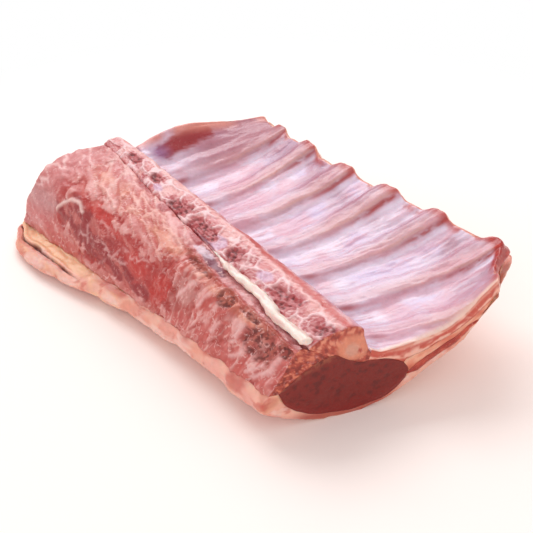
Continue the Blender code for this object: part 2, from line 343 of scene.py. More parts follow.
def belly_line(t, samples):
    body = smooth(t / 0.25)[:, None, None]
    near = spline(BELLY_AT_CUT, samples)[None]
    far = spline(BELLY_BEYOND, samples)[None]
    share = mix(near, far, body)
    start = mix(14.0, 22.0, body[..., 0])
    s = np.linspace(0.0, 1.0, samples)[None]
    lift = 8.0 * shoulder_lift(t)[:, None] * smooth(s / 0.5) * (1.0 - s)
    outer_x = (tip_x(t) + rim(RIM_REACH, t))[:, None]
    outer_z = (tip_z(t) - rim(RIM_DROP, t))[:, None]
    return np.stack([mix(start, outer_x, share[..., 0]), outer_z * share[..., 1] + lift], axis=-1)


def left_edge(t, samples):
    flare = 11.0 * bell(t - 0.8, 0.28) - 2.5 * bell(t - 0.25, 0.3)
    line = section(LEFT_EDGE, t, samples)
    bulge = np.sin(math.pi * np.linspace(0.0, 1.0, samples))
    line[..., 0] -= flare[:, None] * bulge[None]
    return line


def cap_line(t, share):
    inner, seam = wall_lines(t, np.linspace(0.375, 0.75, 13))
    belly = respace(belly_line(t, 60), np.linspace(0.36, 0.75, 13))
    return mix(belly, seam, share[:, None, None])


def cap_edges(t):
    """The lower and the upper side of the cap muscle."""
    middle = cap_line(t, np.full(len(t), 0.45))
    inner = middle[:, :1] + np.array([-5.0, -1.6])
    outer = middle[:, -1:] + np.array([4.0, 2.4])
    lower = cap_line(t, mix(0.36, 0.22, t))
    upper = cap_line(t, mix(0.62, 0.72, t))
    return (np.concatenate([inner, lower, outer], axis=1),
            np.concatenate([inner, upper, outer], axis=1))


def corner_lump(s, t):
    """How far the lean meat bulges out at the tip of the first whole rib."""
    return bell(t - 0.135, 0.05) * step(s, 0.9, 0.97)


def rim_middle(t):
    inner, seam = wall_lines(t, np.array([0.0, 1.0]))
    belly = belly_line(t, 40)
    return mix(seam[:, -1:], belly[:, -1:], 0.5)


# Slabs

class Slab:
    """The skin of the space between a lower and an upper curve, from station to station.

    s runs along the curves, w from the lower to the upper one, t along the spine.
    """

    def __init__(self, t, lower, upper, layers):
        w = np.linspace(0.0, 1.0, layers)
        block = mix(lower[:, :, None], upper[:, :, None], w[None, None, :, None])
        nt, ns, nw = block.shape[:3]
        grid_t, grid_s, grid_w = np.meshgrid(t, np.linspace(0.0, 1.0, ns), w, indexing="ij")
        skin = np.zeros((nt, ns, nw), bool)
        for axis in range(3):
            view = np.moveaxis(skin, axis, 0)
            view[0] = True
            view[-1] = True
        index = np.full(skin.shape, -1)
        index[skin] = np.arange(skin.sum())
        x = block[..., 0][skin]
        z = block[..., 1][skin]
        self.s = grid_s[skin]
        self.w = grid_w[skin]
        self.t = grid_t[skin]
        self.rest = np.stack([x, cut_y(x, self.t), z], axis=1)
        faces = []
        for axis in range(3):
            turned = np.moveaxis(index, (axis, (axis + 1) % 3, (axis + 2) % 3), (0, 1, 2))
            for end in (0, -1):
                sheet = turned[end]
                quads = np.stack([sheet[:-1, :-1], sheet[1:, :-1], sheet[1:, 1:], sheet[:-1, 1:]], axis=-1)
                quads = quads.reshape(-1, 4)
                faces.append(quads if end == -1 else quads[:, ::-1])
        self.faces = np.concatenate(faces)
        self.weld()
        self.cut = (self.t < 0.001) | (self.t > 0.999)
        self.points = self.rest.copy()
        if self.volume() < 0.0:
            self.faces = self.faces[:, ::-1].copy()

    def weld(self):
        """Joins points that meet where the two curves do, and drops faces with no area."""
        key = np.round(self.rest * 1000.0).astype(np.int64)
        unique, first, back = np.unique(key, axis=0, return_index=True, return_inverse=True)
        back = back.reshape(-1)
        self.rest = self.rest[first]
        self.s, self.w, self.t = self.s[first], self.w[first], self.t[first]
        faces = back[self.faces]
        same = sum((faces[:, i] == faces[:, (i + 1) % 4]).astype(int) for i in range(4))
        opposite = (faces[:, 0] == faces[:, 2]) | (faces[:, 1] == faces[:, 3])
        whole = faces[(same == 0) & ~opposite]
        corners = []
        for face in faces[(same == 1) & ~opposite]:
            kept = [face[i] for i in range(4) if face[i] != face[(i + 1) % 4]]
            corners.append(kept + [kept[-1]])
        self.faces = np.concatenate([whole, np.array(corners, int).reshape(-1, 4)])

    def volume(self):
        a, b, c, d = (self.points[self.faces[:, i]] for i in range(4))
        return (np.einsum("ij,ij->i", a, np.cross(b, c)) + np.einsum("ij,ij->i", a, np.cross(c, d))).sum()

    def normals(self):
        a, b, c, d = (self.points[self.faces[:, i]] for i in range(4))
        face_normal = np.cross(c - a, d - b)
        total = np.zeros_like(self.points)
        for i in range(4):
            for axis in range(3):
                total[:, axis] += np.bincount(self.faces[:, i], face_normal[:, axis], len(total))
        return total / np.maximum(np.linalg.norm(total, axis=1), 1e-9)[:, None]

    def relax(self, rounds, inner):
        """Rounds the edges, but keeps the borders with inner neighbours sharp on the two cuts."""
        weight = np.where(self.cut & inner, 0.0, 1.0)[:, None]
        count = len(self.points)
        pairs = np.concatenate([self.faces[:, [i, (i + 1) % 4]] for i in range(4)])
        pairs = pairs[pairs[:, 0] != pairs[:, 1]]
        degree = np.bincount(pairs[:, 0], minlength=count) + np.bincount(pairs[:, 1], minlength=count)
        for _ in range(rounds):
            total = np.zeros_like(self.points)
            for axis in range(3):
                total[:, axis] = (np.bincount(pairs[:, 0], self.points[pairs[:, 1], axis], count)
                                  + np.bincount(pairs[:, 1], self.points[pairs[:, 0], axis], count))
            mean = total / np.maximum(degree, 1)[:, None]
            self.points += (mean - self.points) * 0.5 * weight

    def raise_by(self, height):
        """Moves the points out along the surface by a height in mm."""
        self.points += self.normals() * height[:, None]

    def sway(self):
        """The slow unevenness that all the pieces share."""
        for axis in range(3):
            self.points[:, axis] += 0.9 * self.noise(30.0, 2, 40 + axis) + 0.3 * self.noise(9.0, 2, 50 + axis)

    def noise(self, size, octaves, seed):
        return noise(self.rest, size, octaves, seed)

    def tint(self, first):
        return Tint(first, len(self.rest))

    def piece(self, name, node, slot_name, tint, material, marble=None):
        """The finished piece, flat where it would sink into the table."""
        points = self.points.copy()
        points[:, 2] = np.maximum(points[:, 2], 0.0)
        faces = [face[:3] if face[3] == face[2] else face for face in self.faces.tolist()]
        add_piece(name, node, points, faces, tint, material, marble)


def add_piece(name, node, points, faces, tint, material, marble=None):
    """Makes a piece, in metres, with its tint and its share of marbling stored on its points."""
    data = bpy.data.meshes.new(name)
    data.from_pydata(((points - np.array([MIDDLE_X, MIDDLE_Y, 0.0])) * MM).tolist(), [], faces)
    data.update()
    data.shade_smooth()
    rgba = np.ones((len(points), 4), np.float32)
    rgba[:, :3] = np.clip(tint.values, 0.0, 1.0) ** WET_DEPTH
    data.attributes.new("tint", "FLOAT_COLOR", "POINT").data.foreach_set("color", rgba.ravel())
    if marble is not None:
        share = np.ones(len(points), np.float32) * np.clip(marble, 0.0, 1.0)
        data.attributes.new("marble", "FLOAT", "POINT").data.foreach_set("value", share.astype(np.float32))
    data.materials.append(material)
    piece = bpy.data.objects.new(name, data)
    bpy.context.scene.collection.objects.link(piece)
    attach(piece, "root")
    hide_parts(node)


# Materials

def feed(tree, node, inputs):
    """Gives each named input a value, or the socket that feeds it."""
    for key, value in inputs.items():
        if isinstance(value, bpy.types.NodeSocket):
            tree.links.new(value, node.inputs[key])
        else:
            node.inputs[key].default_value = value


def add_node(tree, kind, inputs, **settings):
    node = tree.nodes.new("ShaderNode" + kind)
    for key, value in settings.items():
        setattr(node, key, value)
    feed(tree, node, inputs)
    return node


def flesh(name, roughness, coat, subsurface, grain, grain_size, bumps, fleck=None):
    """A moist tissue that takes its colour from the mesh's tint.

    grain varies the brightness at grain_size mm, bumps are (size, distance) pairs in mm,
    and fleck is (colour, size, share) for pale marbling where the mesh's marble mask allows.
    """
    material = bpy.data.materials.new(name)
    material.use_nodes = True
    tree = material.node_tree
    place = add_node(tree, "TexCoord", {}).outputs["Object"]

    def mottle(size, inputs):
        scale = {"Vector": place, "Scale": 1.0 / (size * MM)}
        return add_node(tree, "TexNoise", {**scale, **inputs}).outputs["Fac"]

    def spread(value, low, high):
        inputs = {"Value": value, "From Min": 0.3, "From Max": 0.7, "To Min": low, "To Max": high}
        return add_node(tree, "MapRange", inputs).outputs["Result"]

    tint = add_node(tree, "Attribute", {}, attribute_name="tint").outputs["Color"]
    shade = mottle(grain_size, {"Detail": 4.0, "Roughness": 0.65})
    brightness = spread(shade, 1.0 - grain, 1.0 + grain)
    scaled = add_node(tree, "VectorMath", {}, operation="SCALE")
    feed(tree, scaled, {0: tint, "Scale": brightness})
    result = scaled.outputs["Vector"]
    if fleck:
        fleck_colour, size, share = fleck
        marble = add_node(tree, "Attribute", {}, attribute_name="marble").outputs["Fac"]
        threads = mottle(size, {"Detail": 5.0, "Roughness": 0.6, "Distortion": 1.2})
        limits = {"Value": threads, "From Min": 1.0 - share, "From Max": 1.12 - share}
        cut = add_node(tree, "MapRange", limits, interpolation_type="SMOOTHSTEP").outputs["Result"]
        amount = add_node(tree, "Math", {0: cut, 1: marble}, operation="MULTIPLY").outputs["Value"]
        inputs = {"Factor": amount, "A": result, "B": (*linear(fleck_colour), 1.0)}
        result = add_node(tree, "Mix", inputs, data_type="RGBA").outputs["Result"]
    normal = {}
    for size, distance in bumps:
        height = mottle(size, {"Detail": 3.0})
        inputs = {"Distance": distance * MM, "Strength": 1.0, "Height": height, **normal}
        normal = {"Normal": add_node(tree, "Bump", inputs).outputs["Normal"]}
    feed(tree, tree.nodes["Principled BSDF"], {
        "Base Color": result,
        "Roughness": spread(shade, max(0.05, roughness - 0.12), roughness + 0.12),
        "Subsurface Weight": subsurface,
        "Subsurface Radius": (1.0, 0.35, 0.25),
        "Subsurface Scale": 2.0 * MM,
        "Specular IOR Level": 0.45,
        "Coat Weight": coat,
        "Coat Roughness": 0.18,
        **normal,
    })
    return material


# Colours

PLEURA = (222, 200, 217)
PLEURA_WHITE = (236, 222, 236)
PLEURA_LILAC = (208, 190, 222)
PLEURA_PINK = (220, 172, 186)
RIB_FACE = (212, 164, 168)
# The next colour is painted shade: the darker mauve on the side of each rib that faces the shoulder end
RIB_SHADE_MAUVE = (178, 118, 136)
RIB_LINE = (176, 92, 98)
BLOOD = (178, 58, 56)
DEEP_RED = (160, 34, 40)
RED_MEAT = (178, 58, 54)
DARK_MEAT = (152, 52, 56)
SALMON = (192, 84, 74)
PINK_MEAT = (204, 112, 106)
PALE_PINK = (230, 178, 174)
GREY_PINK = (206, 160, 160)
FAT = (238, 184, 166)
FAT_CREAM = (240, 194, 158)
FAT_PINK = (224, 142, 122)
RIM_ORANGE = (206, 100, 80)
CARTILAGE = (236, 198, 198)
MARROW = (178, 78, 82)
MARROW_DARK = (112, 32, 38)
SPONGE_BROWN = (148, 58, 48)
EYE = (134, 36, 25)
EYE_EDGE = (144, 28, 18)
CORD = (238, 220, 210)
SLIT = (120, 34, 28)

# Features along the back strip, in mm along the spine and up from the fat: ovals and streaks
LEAN = ((152, 20, 36, 13.5, 0.05), (110, 16, 25, 13.0, 0.05), (88, 14, 12, 14.5, 0.0), (130, 13, 22, 12, 0.0))
LEAN_DARK = ((146, 15, 26, 8.5, 0.1), (118, 9, 14, 6, 0.0), (165, 20, 12, 7, 0.0), (98, 5, 8, 4.5, 0.0))
LEAN_BRIGHT = ((86, 13, 7, 10, 0.0), (106, 17, 10, 6, 0.1), (142, 27, 17, 3.5, 0.15))
STAR = (((113, 14), (124, 12), (131, 5)), ((124, 12), (120, 19)), ((124, 12), (133, 17)),
        ((142, 16), (153, 13)), ((147, 20), (143, 12)), ((101, 22), (112, 18), (124, 22), (140, 25)))
CURL = (((155, 22), (160, 24.5), (167, 23.5), (172, 20), (175, 15)),)
SPONGE = ((20, 27, 10, 14, 0.0), (47, 34, 6, 7, 0.0), (5.5, 34.5, 4.5, 4.5, 0.0), (31, 37, 8, 2.4, 0.0),
          (74, 38.5, 9, 2.2, 0.0))
RED_STREAKS = (((33, 19), (38, 10), (46, 3)), ((61, 19), (62, 11)), ((76, 24), (79, 12)), ((52, 14), (57, 6)))
MEMBRANES = (((5, 32), (8, 12), (14, 4)), ((12, 18), (17, 6)), ((31, 31), (33, 17)), ((56, 34), (59, 20)),
             ((42, 22), (46, 12)), ((68, 30), (74, 16)), ((24, 22), (29, 6)))
CANAL_DARK = ((74, 45.5, 12, 2.8, 0.0),)
CANAL_PALE = ((85, 47, 8, 3.4, 0.0),)
EDGE_MARROW = ((97, 49.5, 6, 2.6, 0.0), (126, 49, 6, 2.6, 0.0), (150, 50, 7, 2.2, 0.0))

# Features of the sawn vertebrae, in mm along the spine and across from the canal
MARROW_SPOTS = ((33, 6.5, 12, 4.4, 0.0), (5, 8, 5, 4.5, 0.0), (74, 4.5, 7, 4.4, 0.0),
                (98, 2.5, 8.5, 5.0, 0.0), (122, 4.0, 8.0, 4.6, 0.0), (150, 6.5, 6, 3.8, 0.0),
                (174, 7.0, 6, 3.2, 0.0))
LILAC_SPOTS = ((50, 7.5, 6, 3.6, 0.0), (86, 4.0, 7, 3.6, 0.0), (142, 3.5, 5, 3.0, 0.0))

# Lengths of the section curves that the features are placed along
BACK_LENGTH = 51.0
BAND_LENGTH = 34.7


# Pieces

def steps(count):
    return np.linspace(0.0, 1.0, count)


def build_rib_wall():
    """The ribs under their shiny lining, down to the seam with the fat."""
    t = steps(300)
    inner, seam = wall_lines(t, steps(122))
    past_eye = 33    # the first sample of the seam beyond the eye muscle
    under = join(section(EYE_TOP_RIGHT, t, 20), seam[:, past_eye:])
    slab = Slab(t, even(under, 122), inner, 9)
    x, y, z = slab.rest.T
    s, w, tt = slab.s, slab.w, slab.t
    away, number = rib_distance(x, y)
    wobble = slab.noise(16.0, 2, 3)
    away = away + 0.7 * wobble
    rib = 1.0 - step(np.abs(away), 2.4, 9.6)
    top = step(w, 0.5, 1.0)
    along = np.stack([x, away * 6.0 + number * 60.0, z], axis=1)
    slab.points[:, 2] += top * RIB_HEIGHT * rib * smooth(s / 0.12)
    slab.points[:, 0] += step(s, 0.9, 1.0) * (1.6 * rib - 0.8 + 0.7 * wobble)
    slab.points[:, 2] -= top * 0.9 * (1.0 - rib) * step(s, 0.55, 0.95)
    slab.points[:, 2] += top * 3.2 * (1.0 - step(tt, 0.0, 0.07)) * bell(x - 34.0, 26.0)
    lump = corner_lump(s, tt)
    slab.points[:, 0] += 3.4 * lump
    slab.points[:, 2] += top * 1.6 * bell(tt - 0.115, 0.05) * step(s, 0.93, 0.98)
    red_end = bell(tt - 0.135, 0.07) ** 0.5 * step(s, 0.945, 0.975)
    slab.relax(5, w < 0.8)
    slab.sway()
    fibres = noise(along, 15.0, 4, 11)
    fine = noise(along, 5.0, 3, 12)
    patchy = slab.noise(20.0, 4, 14)
    slant = np.stack([x * 0.5 + y * 0.35, y * 2.2 + x * 0.9, z], axis=1)
    wrinkle = noise(slant, 5.0, 3, 19)
    wrinkled = bell(tt - 0.36, 0.1) * bell(s - 0.5, 0.3) + 0.35 * bell(tt - 0.22, 0.1) * bell(s - 0.6, 0.3)
    crease = bell(away + 5.4, 1.6)
    slab.raise_by(top * (0.26 * fibres + 0.12 * fine + 0.2 * slab.noise(7.0, 3, 13)
                         + 0.45 * wrinkle * wrinkled - 0.35 * crease * step(s, 0.15, 0.5)))

    upper = step(s, 0.5, 0.85)
    tint = slab.tint(PLEURA)
    valley = bell(np.abs(away) - 12.5, 6.5)
    tint.coat(PLEURA_WHITE, 0.8 * valley * step(patchy, -0.6, 0.4) * (1.0 - 0.5 * upper))
    tint.coat(PLEURA_LILAC, 0.55 * valley * step(-patchy, -0.1, 0.5))
    tint.coat(PLEURA_PINK, 0.7 * step(slab.noise(16.0, 4, 20), 0.0, 0.6))
    tint.coat(PLEURA_PINK, 0.5 * step(fibres, 0.1, 0.7))
    shade = upper * step(slab.noise(18.0, 3, 9) + 0.5 * step(tt, 0.55, 0.8), -0.3, 0.5)
    tint.coat((180, 130, 146), 0.7 * shade * step(s, 0.6, 0.88))
    tint.coat(RIB_FACE, bell(away + 1.2, 5.6) * mix(0.35, 0.85, step(s, 0.15, 0.6)))
    # Painted shade: the shoulder-end side of each rib gets a darker mauve towards the tips, as if turned away
    # from the light; a weaker coat of it covers every rib
    far_side_shade = bell(away - 4.2, 3.6) * step(s + 0.12 * wobble, 0.42, 0.74) * step(number, 1.0, 3.0)
    tint.coat(RIB_SHADE_MAUVE, 0.85 * far_side_shade)
    tint.coat(RIB_SHADE_MAUVE, 0.3 * bell(away - 4.2, 3.6) * step(s, 0.5, 0.8))
    tint.coat((206, 152, 140), 0.6 * bell(away + 3.6, 1.6) * step(s, 0.3, 0.6))
    redder = 0.35 + 0.65 * step(s, 0.6, 0.9)
    tint.coat(RIB_LINE, crease * redder * step(fine, -0.9, 0.1) * step(s, 0.04, 0.3))
    reddest = bell(number - 3.0, 2.2) + bell(number - 1.0, 1.2)
    tint.coat(BLOOD, 0.75 * bell(away + 5.4, 1.7) * step(s, 0.62, 0.86) * reddest * step(fine, -0.6, 0.4))
    tint.coat(PLEURA_WHITE, 0.6 * bell(away + 8.0, 1.8) * step(s, 0.2, 0.5))
    streak = step(noise(along, 26.0, 4, 15), 0.25, 0.6)
    tint.coat((204, 140, 158), 0.4 * streak)
    tint.coat((204, 140, 160), 0.5 * wrinkled * step(-wrinkle, 0.0, 0.5))
    root = bell(s - 0.15, 0.09) * bell(away + 4.6, 2.4)
    tint.coat((176, 84, 92), 0.85 * root * step(wobble, -0.9, 0.1))
    early = (1.0 - step(tt, 0.02, 0.1)) * bell(s - 0.3, 0.3)
    tint.coat(PLEURA_PINK, 0.6 * early)
    tint.coat((178, 112, 124), 0.85 * step(tt, 0.84, 0.92) * step(s, 0.1, 0.5))
    meat_corner = strands(tt * SPINE_LENGTH, s * 79.0, (((189, 12), (191, 22), (194, 40)),), 7.5)
    tint.coat(DEEP_RED, 0.95 * step(meat_corner + 0.2 * fine, 0.25, 0.75))
    tint.coat((160, 112, 152), 0.9 * bell(tt - 0.95, 0.035) * bell(s - 0.12, 0.12))
    tip_red = step(s, 0.93, 0.99) * step(slab.noise(6.0, 3, 16) + 0.9 * rib, 0.1, 0.8)
    tint.coat((188, 70, 62), 0.8 * tip_red)
    tint.coat((224, 150, 134), 0.8 * step(tt, 0.965, 0.99) * step(wobble, -1.0, 0.2))
    tint.coat((240, 206, 190), 0.9 * (1.0 - step(tt, 0.004, 0.02)) * step(w, 0.9, 1.0))
    red_tone = slab.tint((172, 26, 18)).coat((200, 70, 56), step(fine, 0.0, 0.6))
    tint.blend(red_tone, np.clip(1.3 * red_end, 0.0, 1.0))
    cut = slab.cut | (s > 0.999)
    layer = noise(slab.rest * np.array([0.35, 1.0, 1.0]), 3.0, 3, 18)
    cut_tint = slab.tint(RIM_ORANGE).coat(FAT, step(layer + 0.6 * bell(w - 0.25, 0.3), 0.0, 0.5))
    red_line = bell(w - 0.66 - 0.12 * layer, 0.17)
    cut_tint.coat((190, 62, 52), 0.8 * red_line * step(layer, -0.7, 0.3))
    cut_tint.coat((240, 196, 178), 0.8 * bell(w - 0.93, 0.12) * step(x, 22.0, 34.0))
    end = (s > 0.999) * step(tt, 0.05, 0.08) * (1.0 - step(tt, 0.19, 0.24))
    cut_tint.blend(red_tone, 0.95 * end)
    tint.blend(cut_tint, cut)
    material = flesh("rib_lining", 0.36, 0.3, 0.15, 0.05, 2.2, ((3.0, 0.16), (1.0, 0.05)),
                     (PALE_PINK, 3.0, 0.42))
    slab.piece("rib_wall_meat", "rib_wall", "rib_membrane", tint, material, np.where(cut, 0.5, 0.1))


def build_vertebrae():
    """The sawn vertebrae between the canal and the ribs."""
    t = steps(300)
    foot = wall_lines(t, np.array([0.0]))[0]
    ridge = section(BAND_TOP, t, 30)
    side = np.stack([mix(ridge[:, -1], foot[:, 0], f) + np.array([-1.4 * math.sin(math.pi * f), 0.0])
                     for f in steps(14)], axis=1)
    upper = respace(join(ridge, side), steps(76))
    lower = even(section(EYE_TOP_MIDDLE, t, 40), 76)
    slab = Slab(t, lower, upper, 13)
    x, _, z = slab.rest.T
    s, w, tt = slab.s, slab.w, slab.t
    u = tt * SPINE_LENGTH
    v = s * BAND_LENGTH
    top = step(w, 0.85, 1.0)
    rough = slab.noise(9.0, 3, 21)
    twist = 2.2 * slab.noise(7.0, 2, 22)
    edge, own = cells(u * 0.8 + twist, v + 2.2 * slab.noise(7.0, 2, 23), 7.0, 5, 0.95)
    rim_line = 1.0 - step(edge, 0.08, 0.24)
    fine_edge, fine_own = cells(u + 0.8 * twist, v * 1.3 - 0.8 * twist, 2.6, 8)
    fine_line = 1.0 - step(fine_edge, 0.05, 0.35)
    ragged = 0.5 * rough + 0.35 * slab.noise(3.5, 3, 28)
    spot = patches(u, v, MARROW_SPOTS, ragged)
    around = patches(u, v, MARROW_SPOTS, ragged - 0.5)
    lilac = patches(u, v, LILAC_SPOTS, 0.3 * rough)
    on_band = 1.0 - step(v, 14.0, 17.0)
    slab.relax(4, w < 0.9)
    slab.sway()
    pores = slab.noise(1.5, 2, 24)
    knob = np.hypot(x - 9.3, z - 37.6)
    knob_cut = (tt < 0.05) * (1.0 - step(knob, 5.0, 8.0))
    pitted = spot * (0.8 + 0.35 * step(pores, 0.0, 0.8))
    relief = 0.55 * rim_line + 0.25 * fine_line + 0.7 * rough - pitted
    slit = bell(u - 92.0, 10.0) * bell(v, 2.2)
    slab.raise_by(top * (relief * on_band + 0.5 * rough * (1.0 - on_band) - 1.2 * slit) + 1.0 * knob_cut)

    tint = slab.tint((210, 132, 132))
    tint.coat((196, 98, 100), step(own, 0.4, 0.65) * 0.8)
    tint.coat(PALE_PINK, step(own, 0.72, 0.85) * 0.75)
    tint.coat((228, 170, 178), 0.6 * step(slab.noise(5.0, 3, 25), 0.0, 0.5))
    tint.coat((188, 80, 86), 0.8 * around)
    cell_red = step(own, 0.25, 0.45) * (1.0 - step(own, 0.6, 0.8)) * (1.0 - rim_line)
    tint.coat((176, 66, 72), 0.75 * cell_red * step(edge, 0.2, 0.5))
    tint.coat((240, 206, 208), 0.9 * rim_line * step(rough, -0.9, -0.1))
    tint.coat(CARTILAGE, 0.85 * veins(slab.rest, 6.0, 4, 48, 0.12))
    tint.coat(CARTILAGE, 0.4 * fine_line * step(fine_own, 0.3, 0.6))
    tint.coat((214, 178, 200), 0.8 * lilac)
    tint.coat(MARROW, 0.92 * spot)
    tint.coat((206, 120, 124), 0.6 * spot * fine_line)
    tint.coat(MARROW_DARK, spot * step(pores, 0.0, 0.5) * 0.8)
    ring = np.clip(patches(u, v, MARROW_SPOTS, ragged - 0.22) - spot, 0.0, 1.0)
    tint.coat((236, 190, 190), 0.5 * ring * step(slab.noise(5.0, 2, 49), -0.1, 0.4))
    near_half = 1.0 - step(tt, 0.36, 0.5)
    ridge_red = bell(v - 16.5, 3.2) * step(slab.noise(14.0, 2, 26) + 1.2 * near_half, 0.1, 0.7)
    tint.coat((198, 72, 62), 0.85 * ridge_red)
    tint.coat((236, 180, 176), 0.7 * bell(v - 14.0, 2.0) * (1.0 - ridge_red))
    side_face = step(v, 17.5, 20.0)
    tint.coat(PLEURA_PINK, 0.9 * side_face)
    tint.coat(PALE_PINK, 0.7 * side_face * veins(slab.rest, 12.0, 4, 66, 0.2))
    tint.coat((196, 112, 118), 0.6 * side_face * step(slab.noise(10.0, 4, 67), 0.05, 0.5))
    tint.coat(BLOOD, 0.6 * side_face * step(slab.noise(8.0, 3, 29), 0.15, 0.6) * near_half)
    tint.coat((136, 84, 108), 0.9 * slit * top)
    cut = slab.cut
    granular = slab.noise(1.5, 3, 27)
    cut_tint = slab.tint((188, 86, 66)).coat((224, 148, 122), step(granular, 0.0, 0.6))
    cut_tint.coat((140, 42, 32), step(-granular, 0.15, 0.7) * 0.8)
    cut_tint.coat((222, 146, 118), (1.0 - step(knob, 6.0, 8.6)) * 0.9)
    cut_tint.coat((214, 158, 138), 1.0 - step(np.hypot(x - 8.8, z - 37.0), 2.6, 4.2))
    cut_tint.coat((178, 62, 42), 1.0 - step(np.hypot(x - 12.4, z - 36.2), 0.5, 1.5))
    tint.blend(cut_tint, cut)
    material = flesh("sawn_bone", 0.40, 0.25, 0.12, 0.07, 1.4, ((2.2, 0.22), (0.8, 0.08)),
                     (CARTILAGE, 2.4, 0.40))
    marble = np.where(cut, 0.15, 0.45 * (1 - spot))
    slab.piece("vertebrae_bone", "vertebrae", "bone", tint, material, marble)


